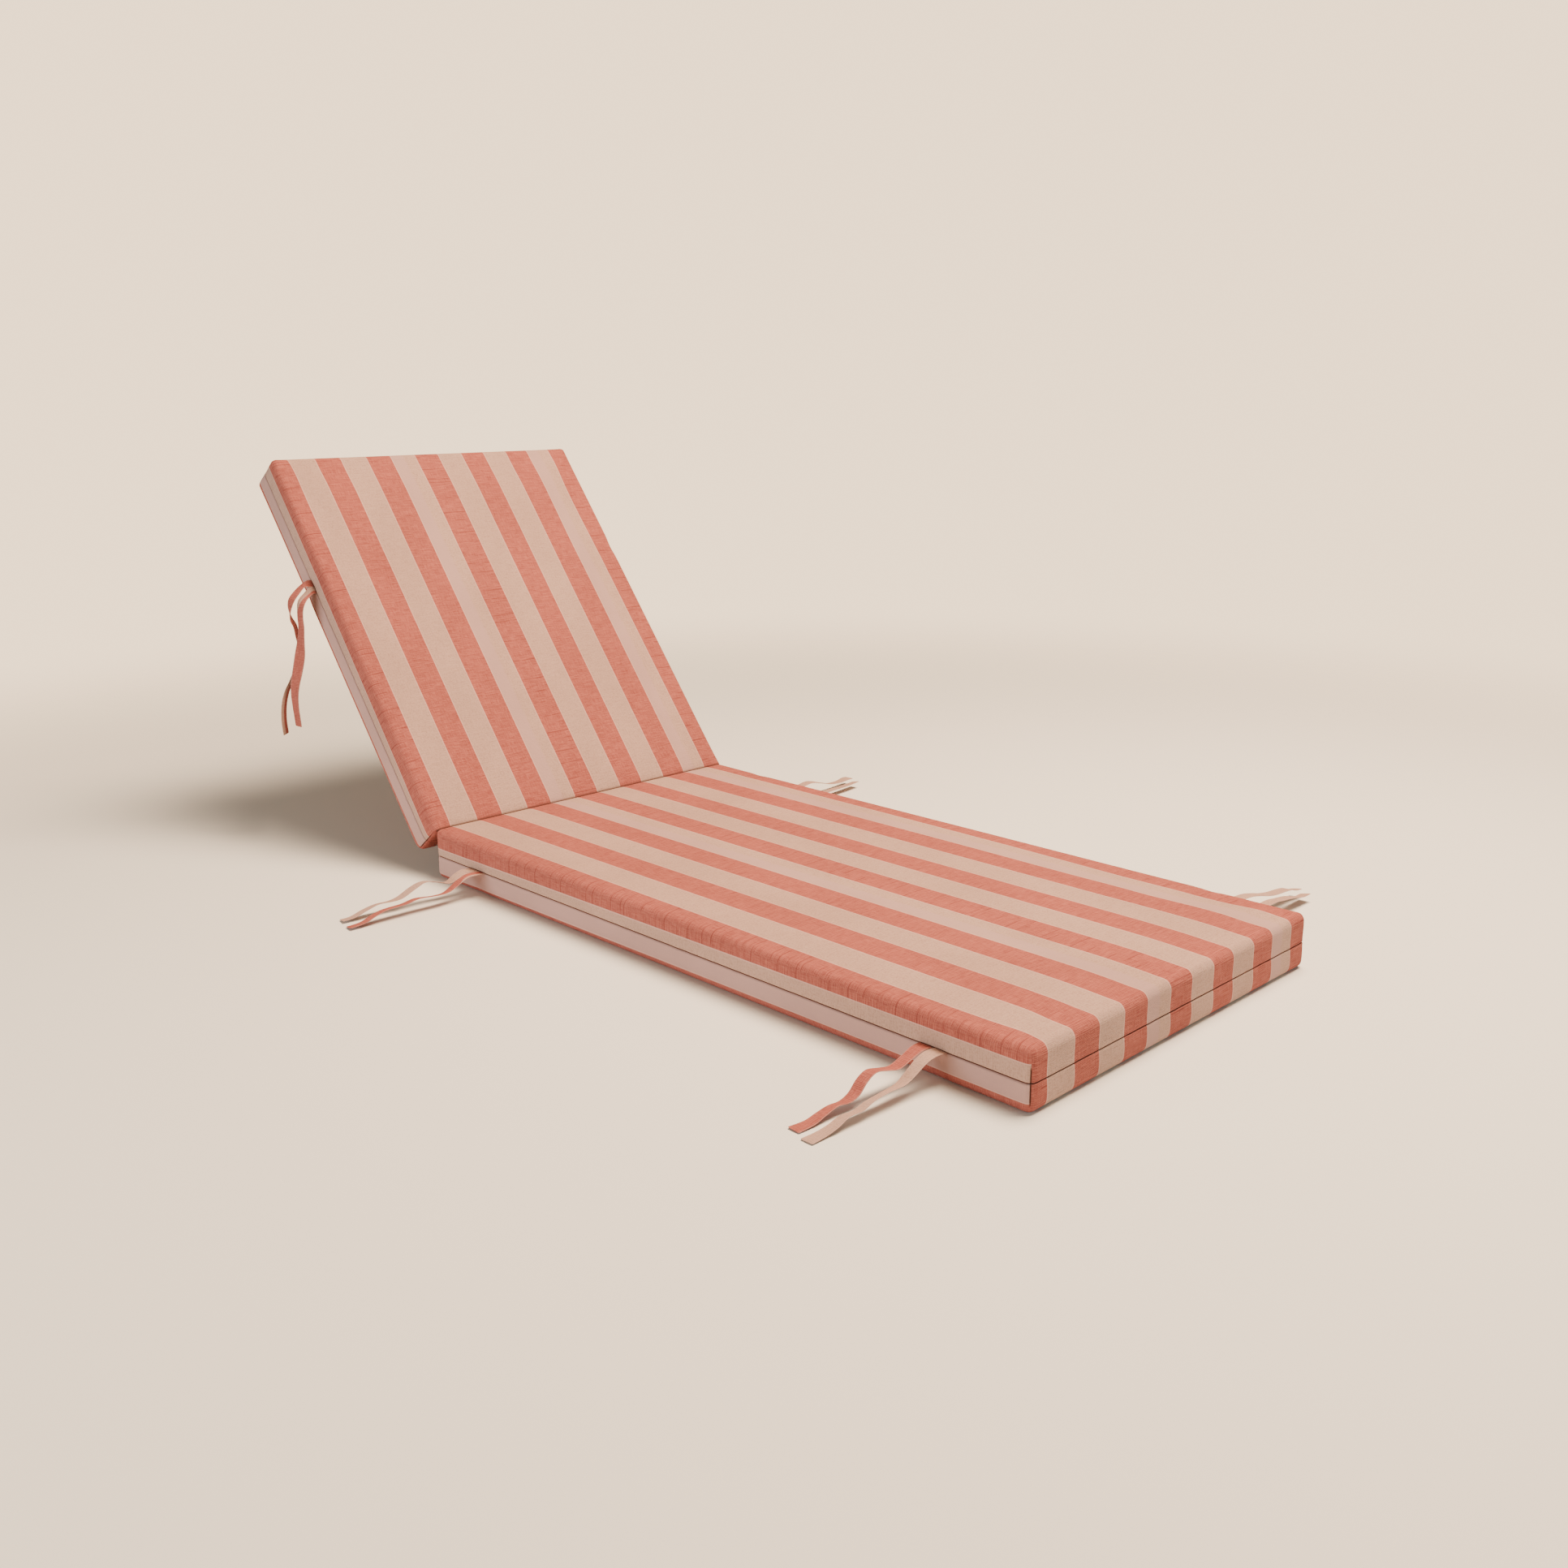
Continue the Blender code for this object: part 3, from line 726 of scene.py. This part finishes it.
# The back section: a shorter pad of the same make, sewn to the seat along the fold and leaning
# back. Its stripes meet those of the seat.
BACK_LENGTH = 0.713
BACK_HEEL_RADIUS = 0.020
BACK_LOWER_SLIP = (0.0088, 0.0094)
BACK_TIES = (0.4735, 0.4870)
lean = Matrix.Rotation(BACK_ANGLE, 4, "Y") @ Matrix.Rotation(pi, 4, "Z")
leaning = Matrix.Translation((FOLD_X, 0, THICKNESS)) @ lean @ Matrix.Translation((0, 0, -THICKNESS))
back_roots = [(sum(BACK_TIES) / 2, side) for side in (-1, 1)]
back = cushion("back_pad", BACK_LENGTH, BACK_HEEL_RADIUS, BACK_LOWER_SLIP, back_roots, leaning)
for loop in back.data.uv_layers["cloth"].data:
    loop.uv = (-loop.uv[0], -loop.uv[1])
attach(back, "root")
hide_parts("back_cushion")


# The ties of the seat: flat strips of doubled cover cloth. Each has one end sewn into the seam, and
# they lie as they fell, in loose waves down to the floor.
TIE_ROOT_WIDTH = 0.020
TIE_WIDTH = 0.0180
TIE_NARROWS_OVER = 0.040
TIE_THICKNESS = 0.001
TIE_STEP = 0.003
TIE_COLUMNS = 6
TIE_SEWN_IN = 0.003
TIE_ROOT_OUT = SEWING_GAP - TIE_SEWN_IN
TIE_CUP = 0.0009
TIE_CUPS_FROM = 0.02
TIE_CUPS_PER_METRE = 28
TIE_SELVEDGE = (0.0072, 0.0080, 0.0, 0.35)

# A row is one bend: how far out of the side, how far towards the foot end from the tie's root, how
# high above the floor, and how far the strip is rolled, in degrees, with the foot-end edge up.
SEAT_TIE_BENDS = {
    "tie_foot_right_a": [
        (0.014, 0.000, 0.0366, 3),
        (0.030, -0.001, 0.0307, 7),
        (0.048, -0.002, 0.0252, 6),
        (0.064, -0.003, 0.0278, 8),
        (0.083, -0.005, 0.0312, 9),
        (0.097, -0.006, 0.0246, 8),
        (0.110, -0.006, 0.0132, 9),
        (0.124, -0.007, 0.0082, 13),
        (0.140, -0.008, 0.0092, 17),
        (0.158, -0.009, 0.0054, 12),
        (0.175, -0.009, 0.0018, 6),
        (0.199, -0.010, 0.0018, -2),
    ],
    "tie_foot_right_b": [
        (0.014, 0.000, 0.0375, 1),
        (0.030, 0.000, 0.0345, 5),
        (0.047, -0.001, 0.0248, 10),
        (0.064, -0.001, 0.0175, 17),
        (0.090, -0.001, 0.0166, 24),
        (0.112, -0.002, 0.0142, 24),
        (0.130, -0.002, 0.0098, 20),
        (0.150, -0.003, 0.0100, 18),
        (0.168, -0.003, 0.0050, 12),
        (0.185, -0.004, 0.0018, 6),
        (0.207, -0.004, 0.0016, 0),
    ],
    "tie_head_right_a": [
        (0.014, -0.001, 0.0375, 0),
        (0.027, -0.003, 0.0330, 0),
        (0.043, -0.004, 0.0252, 6),
        (0.060, -0.006, 0.0294, 12),
        (0.081, -0.008, 0.0344, 11),
        (0.100, -0.010, 0.0285, 4),
        (0.120, -0.012, 0.0187, 6),
        (0.136, -0.014, 0.0157, 12),
        (0.157, -0.016, 0.0157, 15),
        (0.176, -0.018, 0.0109, 11),
        (0.195, -0.020, 0.0044, 10),
        (0.212, -0.022, 0.0030, 8),
    ],
    "tie_head_right_b": [
        (0.014, -0.001, 0.0375, 0),
        (0.030, -0.001, 0.0360, 3),
        (0.046, -0.002, 0.0266, 8),
        (0.062, -0.003, 0.0188, 14),
        (0.082, -0.003, 0.0185, 15),
        (0.110, -0.004, 0.0211, 12),
        (0.132, -0.005, 0.0175, 11),
        (0.162, -0.006, 0.0163, 12),
        (0.180, -0.007, 0.0115, 10),
        (0.197, -0.008, 0.0050, 10),
        (0.220, -0.009, 0.0030, 8),
    ],
    "tie_head_left_a": [
        (0.030, -0.004, 0.0350, 0),
        (0.070, -0.009, 0.0290, 0),
        (0.110, -0.014, 0.0285, 0),
        (0.140, -0.018, 0.0305, 0),
        (0.163, -0.021, 0.0262, 0),
        (0.183, -0.023, 0.0203, 4),
        (0.205, -0.026, 0.0144, 6),
        (0.235, -0.030, 0.0117, 4),
        (0.258, -0.033, 0.0131, -3),
        (0.272, -0.035, 0.0122, 0),
    ],
    "tie_head_left_b": [
        (0.030, -0.003, 0.0340, 0),
        (0.070, -0.008, 0.0225, 0),
        (0.110, -0.012, 0.0150, 4),
        (0.150, -0.017, 0.0122, 6),
        (0.190, -0.021, 0.0112, 6),
        (0.225, -0.025, 0.0107, 8),
        (0.247, -0.028, 0.0108, 10),
        (0.262, -0.030, 0.0112, 12),
    ],
    "tie_foot_left_a": [
        (0.030, 0.000, 0.0385, 0),
        (0.070, 0.000, 0.0395, 0),
        (0.105, 0.001, 0.0387, 0),
        (0.133, 0.001, 0.0335, 0),
        (0.157, 0.001, 0.0277, 0),
        (0.182, 0.001, 0.0234, 0),
        (0.212, 0.001, 0.0210, 2),
        (0.231, 0.001, 0.0186, 4),
        (0.245, 0.002, 0.0143, 8),
        (0.260, 0.002, 0.0122, 12),
    ],
    "tie_foot_left_b": [
        (0.030, 0.000, 0.0340, 0),
        (0.060, 0.000, 0.0268, 0),
        (0.095, 0.000, 0.0247, 2),
        (0.140, 0.000, 0.0258, 4),
        (0.165, 0.000, 0.0230, 4),
        (0.197, 0.000, 0.0188, 4),
        (0.217, 0.000, 0.0143, 8),
        (0.233, 0.000, 0.0112, 12),
        (0.251, 0.000, 0.0112, 14),
    ],
}


def tie_cloth(name, root_from, root_to, tip_from, tip_to, changes_at):
    """The canvas with coral between two places across the strip, in mm, at the root and at the tip;
    changes_at says where along the strip, in mm, the root's places give way to the tip's."""
    material, cloth, place = canvas_material(name)
    tree = material.node_tree
    start, end = (at / 1000 for at in changes_at)
    left = ramp(tree, place.outputs[1], start, end, root_from / 1000, tip_from / 1000)
    right = ramp(tree, place.outputs[1], start, end, root_to / 1000, tip_to / 1000)
    past_left = sum_of(tree, "GREATER_THAN", place.outputs[0], left)
    before_right = sum_of(tree, "LESS_THAN", place.outputs[0], right)
    feed(tree, cloth.inputs["Coral"], sum_of(tree, "MULTIPLY", past_left, before_right))
    selvedge = ramp(tree, sum_of(tree, "ABSOLUTE", place.outputs[0]), *TIE_SELVEDGE)
    feed(tree, cloth.inputs["Selvedge"], selvedge)
    return material


def smooth_path(rows, step):
    """Rows at even steps along a smooth curve through the given rows, each a place and then more."""
    before_first = [2 * a - b for a, b in zip(rows[0], rows[1])]
    after_last = [2 * a - b for a, b in zip(rows[-1], rows[-2])]
    padded = [before_first] + [list(row) for row in rows] + [after_last]
    path = []
    for i in range(1, len(padded) - 2):
        before, start, end, after = padded[i - 1 : i + 3]
        count = max(1, round((Vector(end[:3]) - Vector(start[:3])).length / step))
        for j in range(count):
            t = j / count
            row = []
            for a, b, c, d in zip(before, start, end, after):
                curve = 2 * b + (c - a) * t
                curve += (2 * a - 5 * b + 4 * c - d) * t**2
                curve += (3 * b - a - 3 * c + d) * t**3
                row.append(curve / 2)
            path.append(row)
    return path + [list(rows[-1])]


def make_tie(name, rows, root_width, material, node):
    """A strip bent along rows of place and width direction, slightly cupped, with its thickness."""
    path = smooth_path(rows, TIE_STEP)
    places = [Vector(row[:3]) for row in path]
    lengths = [0.0]
    for before, after in zip(places, places[1:]):
        lengths.append(lengths[-1] + (after - before).length)
    bpy.ops.object.select_all(action="DESELECT")
    bpy.ops.mesh.primitive_grid_add(x_subdivisions=TIE_COLUMNS, y_subdivisions=len(path) - 1, size=1)
    strip = bpy.context.object
    strip.name = name
    mesh = strip.data
    flat = [(vert.co.x, round((vert.co.y + 0.5) * (len(path) - 1))) for vert in mesh.vertices]
    layer = mesh.uv_layers.new(name="cloth") if not mesh.uv_layers else mesh.uv_layers[0]
    layer.name = "cloth"
    for loop in mesh.loops:
        side, i = flat[loop.vertex_index]
        layer.data[loop.index].uv = (side * TIE_WIDTH, lengths[i])
    last = len(path) - 1
    for vert, (side, i) in zip(mesh.vertices, flat):
        forward = (places[min(i + 1, last)] - places[max(i - 1, 0)]).normalized()
        direction = Vector(path[i][3:])
        direction = (direction - forward * direction.dot(forward)).normalized()
        narrowing = min(1.0, (places[i] - places[0]).length / TIE_NARROWS_OVER)
        width = root_width + (TIE_WIDTH - root_width) * narrowing
        cup = TIE_CUP * (1 - 4 * side * side) * min(1.0, lengths[i] / TIE_CUPS_FROM)
        cup *= noise.noise(Vector((lengths[i] * TIE_CUPS_PER_METRE, len(name), i % 2 * 0.01)))
        vert.co = places[i] + direction * side * width + forward.cross(direction) * cup
    thickness = strip.modifiers.new("doubled_cloth", "SOLIDIFY")
    thickness.thickness = TIE_THICKNESS
    thickness.offset = 0.0
    thickness.use_even_offset = True
    rounding = strip.modifiers.new("rounding", "SUBSURF")
    rounding.levels = 1
    rounding.render_levels = 1
    bpy.context.view_layer.objects.active = strip
    for modifier in ("doubled_cloth", "rounding"):
        bpy.ops.object.modifier_apply(modifier=modifier)
    mesh.shade_smooth()
    mesh.materials.append(material)
    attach(strip, "root")
    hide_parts(node)


# each look: coral from and to across the strip at its root, then at its tip, in mm, where 20 lies
# past the strip's edge, and between which lengths, in mm, the one gives way to the other
plain = (-20, -20, -20, -20, (0, 1))
coral = (-20, 20, -20, 20, (0, 1))
coral_middle = (-5.0, 5.2, -20, 20, (34, 66))
seat_tie_looks = {
    "tie_foot_right_a": coral,
    "tie_foot_right_b": plain,
    "tie_head_right_a": plain,
    "tie_head_right_b": coral_middle,
    "tie_head_left_a": plain,
    "tie_head_left_b": plain,
    "tie_foot_left_a": plain,
    "tie_foot_left_b": plain,
}
tie_roots = {"head": HEAD_TIES, "foot": FOOT_TIES}
for node, bends in SEAT_TIE_BENDS.items():
    place, side_name, letter = node.split("_")[1:]
    side = -1 if side_name == "right" else 1
    root_x = FOLD_X + tie_roots[place]["ab".index(letter)]
    rows = []
    for out, forward, height, roll in [(TIE_ROOT_OUT, 0, SEAM_HEIGHT, 0), (0, 0, SEAM_HEIGHT, 0)] + bends:
        width = (cos(radians(roll)), 0, sin(radians(roll)))
        rows.append((root_x + forward, side * (WIDTH / 2 + out), height, *width))
    look = seat_tie_looks[node]
    material = tie_cloth(node + "_canvas", *look)
    make_tie(place + "_" + side_name + "_strip_" + letter, rows, TIE_ROOT_WIDTH, material, node)


# The ties of the back: the same strips, folded narrow where they are sewn in. They hang down from
# the seam, one in front of the other, and those on the left mirror those on the right.
BACK_TIE_ROOT_WIDTH = 0.013
TIE_STANDS_OUT = 0.005

# A row is one bend: how far out of the side, how far towards the foot end from the root, how high
# above the root, and how far the strip's width is turned about the vertical, in degrees.
BACK_TIE_BENDS = {
    "a": [
        (0.0125, 0.001, -0.0050, -42),
        (0.0240, 0.003, -0.0140, -28),
        (0.0300, 0.005, -0.0260, -8),
        (0.0315, 0.005, -0.0415, -4),
        (0.0310, 0.005, -0.0570, -5),
        (0.0325, 0.005, -0.0725, -8),
        (0.0350, 0.005, -0.0880, -22),
        (0.0385, 0.005, -0.1075, -44),
        (0.0440, 0.004, -0.1310, -40),
        (0.0490, 0.003, -0.1505, -28),
        (0.0510, 0.002, -0.1685, -16),
        (0.0505, 0.001, -0.1910, -8),
        (0.0475, 0.000, -0.2235, -6),
    ],
    "b": [
        (0.0145, -0.002, -0.0030, -14),
        (0.0275, -0.002, -0.0140, -14),
        (0.0370, -0.002, -0.0250, -8),
        (0.0405, -0.004, -0.0395, 12),
        (0.0380, -0.007, -0.0545, 38),
        (0.0305, -0.009, -0.0690, 46),
        (0.0270, -0.011, -0.0845, 47),
        (0.0245, -0.011, -0.1015, 48),
        (0.0265, -0.012, -0.1215, 50),
        (0.0335, -0.012, -0.1410, 52),
        (0.0435, -0.011, -0.1595, 54),
        (0.0525, -0.011, -0.1740, 55),
        (0.0590, -0.010, -0.1890, 56),
        (0.0630, -0.009, -0.2065, 56),
        (0.0640, -0.009, -0.2265, 56),
        (0.0625, -0.009, -0.2475, 56),
    ],
}
back_tie_looks = {"a": (2.5, 20, -20, 20, (14, 94)), "b": (-20, 20, -20, 0.5, (95, 150))}
slope = Vector((-cos(BACK_ANGLE), 0, sin(BACK_ANGLE)))
face = Vector((sin(BACK_ANGLE), 0, cos(BACK_ANGLE)))
for side_name, side in (("right", -1), ("left", 1)):
    for distance, (letter, bends) in zip(BACK_TIES, BACK_TIE_BENDS.items()):
        root = Vector((FOLD_X, 0, THICKNESS)) + slope * distance - face * (THICKNESS - SEAM_HEIGHT)
        rows = []
        for out in (TIE_ROOT_OUT, 0, TIE_STANDS_OUT):
            rows.append((root.x, side * (WIDTH / 2 + out), root.z, *(-slope)))
        for out, forward, rise, turned in bends:
            width = (cos(radians(turned)), side * sin(radians(turned)), 0)
            rows.append((root.x + forward, side * (WIDTH / 2 + out), root.z + rise, *width))
        node = "tie_back_" + side_name + "_" + letter
        material = tie_cloth(node + "_canvas", *back_tie_looks[letter])
        make_tie(
            "back_" + side_name + "_strip_" + letter,
            rows,
            BACK_TIE_ROOT_WIDTH,
            material,
            node,
        )
